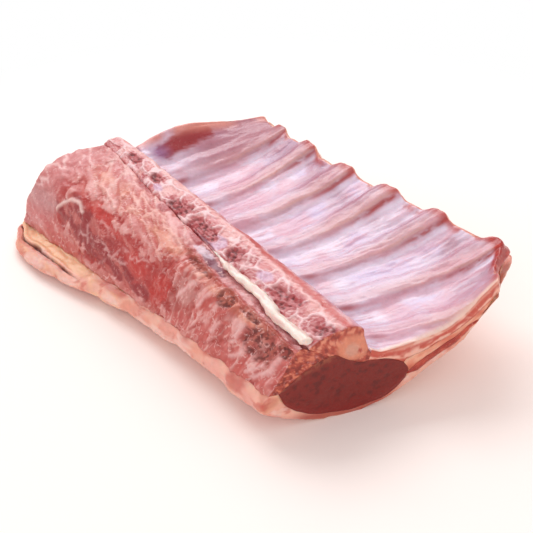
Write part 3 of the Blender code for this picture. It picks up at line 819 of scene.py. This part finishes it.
def build_back_strip():
    """The meat and sawn bone left of the canal, down to the fat."""
    t = steps(330)
    upper = even(section(LEFT_FACE, t, 60), 90)
    lower = even(section(EYE_TOP_LEFT, t, 60), 90)
    slab = Slab(t, lower, upper, 13)
    w, tt = slab.w, slab.t
    u = tt * SPINE_LENGTH
    v = slab.s * BACK_LENGTH
    flat = np.zeros_like(u)
    top = step(w, 0.85, 1.0)
    broad = slab.noise(22.0, 3, 31)
    mid = slab.noise(7.0, 4, 32)
    small = slab.noise(2.6, 3, 34)
    near_half = 1.0 - step(tt, 0.36, 0.5)
    end = step(tt, 0.86, 0.95)
    hang = np.stack([u + 0.12 * v, v * 0.28, flat], axis=1)
    slope = math.radians(18.0)
    run = u * math.cos(slope) + v * math.sin(slope)
    climb = v * math.cos(slope) - u * math.sin(slope)
    turned = np.stack([run * 0.2, climb * 0.9, flat], axis=1)
    leaning = mix(hang, turned, step(tt, 0.34, 0.48)[:, None])
    fibres = noise(leaning, 2.6, 4, 33)
    folds = noise(leaning, 6.5, 3, 38)
    pod_line = veins(leaning, 5.0, 4, 9, 0.16)
    film = veins(leaning, 8.0, 5, 10, 0.13)
    lean = patches(u, v, LEAN, 0.4 * mid + 0.15 * broad + 0.15 * small)
    lean = step(lean, 0.25, 0.75)
    pods = step(tt, 0.4, 0.5) * (1.0 - step(tt, 0.9, 0.97)) * step(v, 20.0, 28.0)
    pods = pods * (1.0 - lean)
    sponge = patches(u, v, SPONGE, 0.3 * mid + 0.2 * small)
    star = strands(u + 1.6 * mid, v + 1.2 * small, STAR, 1.5) * step(mid + small, -0.9, 0.2) * 0.7
    curl = strands(u, v + 0.4 * mid, CURL, 1.5)
    membranes = strands(u + 1.5 * mid, v + 1.5 * small, MEMBRANES, 2.6)
    red_streaks = strands(u + 1.0 * mid, v + 1.2 * small, RED_STREAKS, 1.9)
    lip = mix(40.0, 46.5, step(tt, 0.4, 0.75)) + 1.1 * mid
    on_lip = bell(v - lip, 1.8)
    open_part = 1.0 - step(tt, 0.44, 0.54)
    canal = step(v, lip + 1.0, lip + 3.0) * open_part
    slab.relax(3, w < 0.9)
    slab.sway()
    lobes = (0.5 + 0.5 * np.sin(u / 3.6 + 2.0 * broad)) * bell(v - lip + 6.0, 9.0)
    relief = (0.75 * folds + 0.4 * fibres + 0.35 * small + 0.5 * mid + 0.6 * lobes * step(tt, 0.3, 0.5)
              + 0.6 * pod_line * pods + 0.4 * film - 0.7 * sponge - 0.3 * lean + 0.7 * curl + 0.35 * star
              + 0.55 * membranes + 0.7 * on_lip * (0.3 + 0.7 * open_part) - 1.2 * canal)
    slab.raise_by(top * relief)

    tint = slab.tint(PINK_MEAT)
    tint.coat(SALMON, 0.75 * step(folds, 0.0, 0.6) * step(v, 2.0, 12.0))
    tint.coat(PALE_PINK, 0.8 * step(fibres + 0.5 * mid, 0.05, 0.7))
    tint.coat((190, 92, 88), 0.6 * step(-fibres - 0.3 * folds, 0.15, 0.7))
    tint.coat((190, 84, 78), pods * 0.7 * step(folds, -0.2, 0.4))
    tint.coat((234, 180, 170), 0.9 * pods * np.maximum(pod_line, film))
    tint.coat((234, 188, 182), 0.85 * film * (1.0 - pods) * near_half)
    tint.coat((196, 90, 82), 0.55 * near_half * step(noise(leaning, 5.0, 3, 44), 0.1, 0.5))
    tint.coat(RED_MEAT, 0.95 * lean)
    grainy = step(slab.noise(3.2, 3, 39), 0.05, 0.6)
    tint.coat((198, 98, 94), 0.5 * lean * grainy)
    tint.coat(DARK_MEAT, 0.8 * lean * patches(u, v, LEAN_DARK, 0.35 * mid))
    tint.coat((196, 62, 54), 0.8 * lean * patches(u, v, LEAN_BRIGHT, 0.3 * mid))
    tint.coat(PALE_PINK, 0.5 * lean * veins(slab.rest, 12.0, 5, 35, 0.07) * step(mid, -0.2, 0.4))
    tint.coat((208, 120, 112), 0.6 * lean * step(noise(leaning, 2.6, 4, 46), 0.2, 0.6))
    halo = np.clip(patches(u, v, LEAN, 0.25 * mid + 0.15 * broad - 0.28) - lean, 0.0, 1.0)
    tint.coat((226, 174, 170), 0.55 * halo * step(small + mid, -0.5, 0.4))
    tint.coat((232, 188, 186), 0.8 * np.maximum(star * lean, 0.9 * membranes * (1.0 - sponge)))
    tint.coat((238, 206, 200), 0.9 * curl)
    tint.coat((176, 62, 54), 0.75 * red_streaks)
    cream = bell(v - lip + 5.0, 6.0) * step(broad + 0.6 * mid, -0.5, 0.3)
    tint.coat((222, 152, 124), 0.6 * cream * (1.0 - 0.5 * end))
    upper_far = step(v, 30.0, 38.0) * step(tt, 0.7, 0.82)
    tint.coat((196, 100, 100), 0.6 * upper_far * step(folds, -0.1, 0.5))
    tint.coat((240, 202, 196), 0.8 * upper_far * veins(leaning, 6.0, 3, 68, 0.16))
    crest = step(v, 43.0, 47.0) * (1.0 - open_part)
    tint.coat((228, 172, 172), 0.75 * crest * step(mid + 0.5 * small, -0.5, 0.3))
    tint.coat((240, 208, 200), 0.8 * crest * film)
    brown = near_half * step(noise(hang, 6.0, 4, 47) + 0.3 * small, 0.05, 0.45) * (1.0 - membranes)
    tint.coat((166, 66, 58), 0.5 * brown * step(v, 4.0, 10.0) * (1.0 - canal))
    low = 1.0 - step(v, 1.5, 7.0)
    tint.coat((190, 96, 84), 0.6 * low * step(mid, -0.6, 0.3) * (1.0 - step(tt, 0.6, 0.8)))
    pores = slab.noise(1.4, 2, 36)
    drip = step(noise(hang, 1.6, 2, 30), -0.2, 0.4)
    tint.coat(SPONGE_BROWN, 0.9 * sponge * mix(0.6, 1.0, drip))
    tint.coat((206, 120, 104), 0.5 * sponge * step(noise(hang, 2.2, 3, 63), 0.15, 0.5))
    tint.coat((96, 24, 20), 0.7 * sponge * step(pores + 0.4 * drip, 0.2, 0.7))
    tint.coat((166, 76, 54), 0.75 * on_lip * step(mid, -0.7, 0.2) * (1.0 - step(tt, 0.42, 0.55)))
    tint.coat((222, 166, 168), 0.85 * canal)
    tint.coat((196, 82, 76), 0.7 * canal * bell(v - lip - 2.6, 1.5) * step(mid, -0.6, 0.2))
    tint.coat((176, 84, 84), 0.6 * canal * step(slab.noise(5.0, 4, 43), 0.05, 0.5))
    tint.coat((130, 70, 92), 0.85 * canal * patches(u, v, CANAL_DARK, 0.2 * mid))
    tint.coat((222, 204, 216), 0.7 * patches(u, v, CANAL_PALE, 0.2 * mid))
    tint.coat(MARROW, 0.9 * patches(u, v, EDGE_MARROW, 0.3 * mid))
    tint.coat((208, 134, 134), 0.8 * end)
    tint.coat((190, 98, 98), 0.75 * end * step(-folds - 0.4 * mid, -0.1, 0.4))
    tint.coat((238, 196, 194), 0.85 * end * veins(leaning, 7.0, 4, 64, 0.16))
    tint.coat(GREY_PINK, 0.7 * step(tt, 0.87, 0.9) * bell(v - 15.0, 8.0))
    cut = slab.cut
    granular = slab.noise(1.5, 3, 37)
    cut_tint = slab.tint((176, 74, 56)).coat((216, 130, 102), step(granular, 0.05, 0.6))
    cut_tint.coat((128, 38, 28), step(-granular, 0.1, 0.7) * 0.8)
    tint.blend(cut_tint, cut)
    material = flesh("back_meat", 0.42, 0.22, 0.1, 0.08, 1.6, ((2.6, 0.28), (0.9, 0.1)),
                     (PALE_PINK, 2.8, 0.44))
    marble = np.where(cut, 0.3, mix(0.7, 0.35, lean))
    slab.piece("back_strip_meat", "back_strip", "red_meat", tint, material, marble)


def build_eye_muscle():
    """The long round loin muscle, which shows at both cuts."""
    t = steps(120)
    lower = join(section(EYE_BOTTOM, t, 60)[:, ::-1], section(EYE_RIGHT, t, 20)[:, ::-1])
    upper = join(section(EYE_TOP_LEFT, t, 30), section(EYE_TOP_MIDDLE, t, 30), section(EYE_TOP_RIGHT, t, 30))
    slab = Slab(t, even(lower, 110), even(upper, 110), 50)
    slab.sway()
    grain = slab.noise(2.6, 4, 41)
    from_edge = np.minimum(slab.w, 1.0 - slab.w)
    inside = step(from_edge, 0.0, 0.12) * step(np.minimum(slab.s, 1.0 - slab.s), 0.0, 0.06)
    slab.raise_by(np.where(slab.cut, inside * (0.5 + 0.35 * slab.noise(10.0, 2, 42) + 0.22 * grain), 0.25))
    tint = slab.tint(EYE).coat((134, 44, 34), 0.6 * step(grain, 0.05, 0.6))
    tint.coat((94, 20, 15), 0.6 * step(-grain, 0.1, 0.7))
    tint.coat(EYE_EDGE, 0.8 * (1.0 - step(slab.w, 0.0, 0.3)))
    tint.coat((150, 62, 48), 0.5 * step(slab.w, 0.88, 1.0) * step(grain, -0.2, 0.5))
    fringe = step(slab.w, 0.86, 0.99) * (1.0 - step(slab.s, 0.4, 0.52))
    fringe = fringe * step(slab.noise(2.0, 3, 65), -0.1, 0.3)
    tint.coat((172, 104, 78), 0.6 * fringe)
    tint.coat(RED_MEAT, np.where(slab.cut, 0.0, 1.0))
    material = flesh("eye_meat", 0.5, 0.05, 0.05, 0.12, 1.1, ((1.6, 0.2), (0.6, 0.1)),
                     ((164, 82, 66), 1.3, 0.33))
    marble = np.where(slab.cut, 0.8 * step(from_edge, 0.0, 0.1), 0.0)
    slab.piece("eye_muscle_meat", "eye_muscle", "eye_muscle", tint, material, marble)


def build_cap_muscle():
    """The thin muscle in the fat under the ribs."""
    t = steps(150)
    lower, upper = cap_edges(t)
    slab = Slab(t, even(lower, 46), even(upper, 46), 5)
    slab.sway()
    fibres = noise(slab.rest * np.array([0.3, 1.0, 1.0]), 2.4, 3, 45)
    slab.raise_by(np.where(slab.cut, 0.4 + 0.2 * fibres, 0.0))
    tint = slab.tint((204, 92, 70)).coat((172, 56, 40), step(fibres, -0.1, 0.6))
    material = flesh("cap_meat", 0.42, 0.2, 0.15, 0.08, 1.4, ((1.6, 0.18),), (FAT_PINK, 2.0, 0.42))
    slab.piece("cap_muscle_meat", "cap_muscle", "red_meat", tint, material, 0.7)


def build_seam_fat():
    """The fat between the cap muscle and the ribs."""
    t = steps(220)
    seam = wall_lines(t, steps(60))[1]
    past_eye = 17    # the first sample of the seam beyond the eye muscle
    beside_eye = section(EYE_RIGHT, t, 12)
    lower = join(beside_eye[:, -3:], cap_edges(t)[1], rim_middle(t))
    upper = join(beside_eye[:, -3::-1], seam[:, past_eye:])
    slab = Slab(t, even(lower, 70), even(upper, 70), 7)
    slab.sway()
    streak = noise(slab.rest * np.array([0.35, 1.0, 1.0]), 3.2, 3, 47)
    slab.raise_by(0.15 * streak)
    tint = slab.tint((226, 142, 116)).coat((238, 178, 152), step(streak, -0.3, 0.5))
    tint.coat((208, 98, 74), 0.6 * step(-streak, 0.25, 0.8))
    material = flesh("seam_fat_looks", 0.42, 0.25, 0.25, 0.05, 1.8, ((2.0, 0.15),))
    slab.piece("seam_fat_layer", "seam_fat", "fat", tint, material)


def build_fat_cap():
    """The fat that the rack lies on, with its torn ledge at the shoulder end."""
    t = steps(270)
    edge = left_edge(t, 60)
    belly = belly_line(t, 80)
    lower = join(edge, np.concatenate([edge[:, -1:], belly], axis=1), rim_middle(t))
    fine_part = 0.19    # the share of the outline, along the ledge, that has a finer grid
    shares = np.concatenate([np.linspace(0.0, fine_part, 60), np.linspace(fine_part, 1.0, 96)[1:]])
    eye = section(EYE_BOTTOM, t, 60)[:, ::-1]
    upper = join(np.concatenate([edge[:, :1], eye, cap_edges(t)[0]], axis=1), rim_middle(t))
    slab = Slab(t, respace(lower, shares), respace(upper, shares), 9)
    x, _, z = slab.rest.T
    s, w, tt = slab.s, slab.w, slab.t
    outer = 1.0 - step(w, 0.0, 0.3)
    place = np.interp(s, np.linspace(0.0, 1.0, len(shares)), shares)
    lump = slab.noise(11.0, 3, 51)
    side = 1.0 - step(place, 0.1, 0.16)
    slab.points[:, 0] += 5.0 * side * step(tt, 0.93, 1.0) - 1.0 * side * bell(tt - 0.9, 0.06)
    slab.relax(4, w > 0.1)
    slab.sway()
    torn_t = step(tt, 0.66, 0.76)
    torn_at = mix(0.052, 0.040, step(tt, 0.7, 1.0)) + 0.006 * slab.noise(9.0, 3, 52)
    ragged = 0.6 + 0.6 * step(slab.noise(7.0, 3, 57), -0.3, 0.4)
    tear = bell(place - torn_at, 0.0065 * ragged) * torn_t
    lip = bell(place - torn_at + 0.010, 0.013) * torn_t
    lower_lip = bell(place - torn_at - 0.015, 0.018) * torn_t
    edge_zone = 1.0 - step(place, 0.12, 0.2)
    relief = outer * (0.7 * lump * edge_zone + 0.3 * slab.noise(4.0, 3, 53))
    fold = noise(slab.rest * np.array([1.0, 0.35, 1.0]), 5.0, 3, 58)
    relief = relief + outer * (0.9 * lip + 0.9 * lower_lip - 2.4 * tear + 0.55 * fold * edge_zone)
    slab.raise_by(relief)

    tint = slab.tint(FAT).coat(FAT_CREAM, step(lump, 0.1, 0.6) * 0.6)
    tint.coat((232, 170, 160), 0.7 * step(slab.noise(12.0, 3, 59), -0.2, 0.4))
    ledge = (1.0 - step(place, 0.030, 0.045)) * step(tt, 0.62, 0.72)
    tint.coat(FAT_PINK, 0.6 * step(slab.noise(14.0, 3, 54), 0.05, 0.6))
    tint.coat((206, 108, 96), 0.65 * step(slab.noise(5.0, 4, 55) + 0.25 * fold, 0.3, 0.7))
    tint.coat((240, 204, 194), 0.7 * step(fold, 0.15, 0.6))
    tint.coat((240, 190, 152), 0.85 * ledge)
    reach = mix(0.026, 0.0, step(tt, 0.12, 0.3))
    upper_edge = (1.0 - step(place, 0.012 + reach, 0.03 + reach)) * (1.0 - step(tt, 0.6, 0.7)) * outer
    tint.coat((196, 92, 84), 0.7 * upper_edge * step(lump + 0.5 * fold, -0.4, 0.4))
    underneath = step(place, 0.085, 0.11) * (1.0 - step(place, 0.13, 0.18)) * outer
    tint.coat((214, 132, 118), 0.6 * underneath)
    tint.coat(SLIT, np.clip(1.2 * tear, 0.0, 1.0) * outer)
    under_tear = bell(place - torn_at - 0.010, 0.010) * torn_t
    tint.coat((190, 84, 72), 0.6 * under_tear * step(lump, -0.6, 0.3))
    cut = slab.cut
    near_bottom = cut * (1.0 - step(z, 3.0, 9.0)) * step(x, -22.0, -10.0) * (1.0 - step(x, 28.0, 40.0))
    tint.coat((176, 66, 48), 0.8 * near_bottom)
    left_patch = cut * (1.0 - step(np.hypot((x + 29.0) / 1.3, z - 17.0), 2.0, 5.0))
    tint.coat((198, 96, 80), 0.5 * left_patch)
    skin = outer * step(place, 0.2, 0.26)
    tint.coat((240, 206, 186), 0.6 * skin * step(slab.noise(18.0, 3, 56), -0.2, 0.5))
    material = flesh("fat_looks", 0.42, 0.25, 0.3, 0.05, 2.4, ((2.4, 0.2), (0.9, 0.06)),
                     ((222, 140, 120), 5.0, 0.36))
    slab.piece("fat_cap_layer", "fat_cap", "fat", tint, material, 0.5)


def build_cord():
    """The spinal cord, a pale soft strand that lies in the canal and frays at its end."""
    rows, around = 150, 30
    t = np.linspace(CORD_START, CORD_END, rows)
    canal = section(BAND_TOP, t, 10)[:, 0]
    turn = np.linspace(0.0, 2.0 * math.pi, around, endpoint=False)
    end = np.clip((t - t[0]) / 0.008, 0.0, 1.0) * np.clip((t[-1] - t) / 0.08, 0.0, 1.0)
    blunt = np.sqrt(np.clip(end, 0.02, 1.0))
    width = CORD_HALF_WIDTH * blunt * (1.0 + 0.13 * np.sin(t * 55.0) + 0.06 * np.sin(t * 190.0))
    width *= mix(1.15, 0.7, t / CORD_END)
    height = CORD_HALF_HEIGHT * blunt
    sunk = step(t, 0.32, 0.36)
    middle_x = canal[:, 0] - 0.7 + 0.9 * np.sin(t * 34.0 + 0.7)
    middle_z = canal[:, 1] + 2.2 + 0.3 * np.sin(t * 50.0) - 2.6 * sunk
    x = middle_x[:, None] + width[:, None] * np.cos(turn)[None]
    z = middle_z[:, None] + height[:, None] * np.sin(turn)[None]
    points = np.stack([x, cut_y(x, t[:, None]), z], axis=-1).reshape(-1, 3)
    outward = np.tile(np.stack([np.cos(turn), 0.0 * turn, np.sin(turn)], axis=1), (rows, 1))
    threads = noise(points * np.array([1.0, 0.25, 1.0]), 2.0, 3, 61)
    points = points + outward * (0.35 * threads)[:, None]
    for axis in range(3):
        points[:, axis] += 0.9 * noise(points, 30.0, 2, 40 + axis)
    faces = []
    for low in range(0, (rows - 1) * around, around):
        high = low + around
        for index in range(around):
            following = (index + 1) % around
            faces.append((high + index, high + following, low + following, low + index))
    faces.append(tuple(range(around)))
    faces.append(tuple(reversed(range((rows - 1) * around, rows * around))))
    tint = Tint(CORD, len(points)).coat((226, 182, 176), 0.75 * step(-threads, 0.0, 0.6))
    material = flesh("cord_looks", 0.35, 0.4, 0.3, 0.04, 1.5, ((1.5, 0.12),))
    add_piece("spinal_cord_strand", "spinal_cord", points, faces, tint, material)


# Stage

def whiten_far_off(tree):
    """Shows the table as plain white away from the rack, to the camera only."""
    place = add_node(tree, "TexCoord", {}).outputs["Object"]
    distance = add_node(tree, "VectorMath", {0: place}, operation="LENGTH").outputs["Value"]
    limits = {"Value": distance, "From Min": 0.15, "From Max": 0.30}
    far = add_node(tree, "MapRange", limits, interpolation_type="SMOOTHSTEP").outputs["Result"]
    camera_ray = add_node(tree, "LightPath", {}).outputs["Is Camera Ray"]
    amount = add_node(tree, "Math", {0: far, 1: camera_ray}, operation="MULTIPLY").outputs["Value"]
    lit = tree.nodes["Principled BSDF"].outputs["BSDF"]
    white = add_node(tree, "Emission", {}).outputs["Emission"]
    blend = add_node(tree, "MixShader", {"Fac": amount, 1: lit, 2: white})
    feed(tree, tree.nodes["Material Output"], {"Surface": blend.outputs["Shader"]})


def build_stage():
    """A white table, which shows only the rack's soft shadow."""
    size = 6.0
    data = bpy.data.meshes.new("table")
    corners = [(-size, -size, 0), (size, -size, 0), (size, size, 0), (-size, size, 0)]
    data.from_pydata(corners, [], [(0, 1, 2, 3)])
    material = bpy.data.materials.new("white_table")
    material.use_nodes = True
    tree = material.node_tree
    feed(tree, tree.nodes["Principled BSDF"],
         {"Base Color": (1.0, 0.89, 0.85, 1.0), "Roughness": 0.8, "Specular IOR Level": 0.1})
    whiten_far_off(tree)
    data.materials.append(material)
    table = bpy.data.objects.new("table", data)
    bpy.context.scene.collection.objects.link(table)


def light(name, place, aim, size, energy, tone=(1.0, 1.0, 1.0)):
    lamp = bpy.data.lights.new(name, "AREA")
    lamp.shape = "RECTANGLE"
    lamp.size, lamp.size_y = size
    lamp.energy = energy
    lamp.color = tone
    holder = bpy.data.objects.new(name, lamp)
    holder.location = place
    holder.rotation_euler = (Vector(aim) - Vector(place)).to_track_quat("-Z", "Y").to_euler()
    bpy.context.scene.collection.objects.link(holder)


def build_lights():
    """A soft light from behind on the right and a weak one from the front left, on a white world."""
    world = bpy.data.worlds.new("studio")
    bpy.context.scene.world = world
    world.use_nodes = True
    tree = world.node_tree
    background = tree.nodes["Background"]
    feed(tree, background, {"Color": (1.0, 0.97, 0.96, 1.0), "Strength": 0.75})
    seen = add_node(tree, "Background", {"Color": (1.0, 1.0, 1.0, 1.0)}).outputs["Background"]
    camera_ray = add_node(tree, "LightPath", {}).outputs["Is Camera Ray"]
    blend = add_node(tree, "MixShader", {"Fac": camera_ray, 1: background.outputs["Background"], 2: seen})
    feed(tree, tree.nodes["World Output"], {"Surface": blend.outputs["Shader"]})
    light("softbox", (0.25, 0.75, 0.95), (0.0, 0.0, 0.0), (1.2, 0.7), 9.5, (0.96, 1.0, 1.02))
    light("fill", (-0.8, -0.8, 0.7), (0.0, 0.0, 0.0), (0.8, 0.6), 2.5)


def build_camera():
    """Looks down at the loin cut from the left, as a still life is taken."""
    azimuth = math.radians(36.3)
    elevation = math.radians(36.0)
    distance = 0.580
    target = Vector((-0.0085, -0.0201, 0.0300))
    away = Vector((-math.sin(azimuth) * math.cos(elevation),
                   -math.cos(azimuth) * math.cos(elevation), math.sin(elevation)))
    camera = bpy.data.cameras.new("camera")
    camera.lens = 81.2
    camera.sensor_width = 36.0
    holder = bpy.data.objects.new("camera", camera)
    holder.location = target + away * distance
    holder.rotation_euler = (-away).to_track_quat("-Z", "Y").to_euler()
    bpy.context.scene.collection.objects.link(holder)
    bpy.context.scene.camera = holder


build_camera()
build_rib_wall()
build_vertebrae()
build_back_strip()
build_eye_muscle()
build_cap_muscle()
build_seam_fat()
build_fat_cap()
build_cord()
build_stage()
build_lights()
bpy.context.scene.view_settings.view_transform = "Standard"
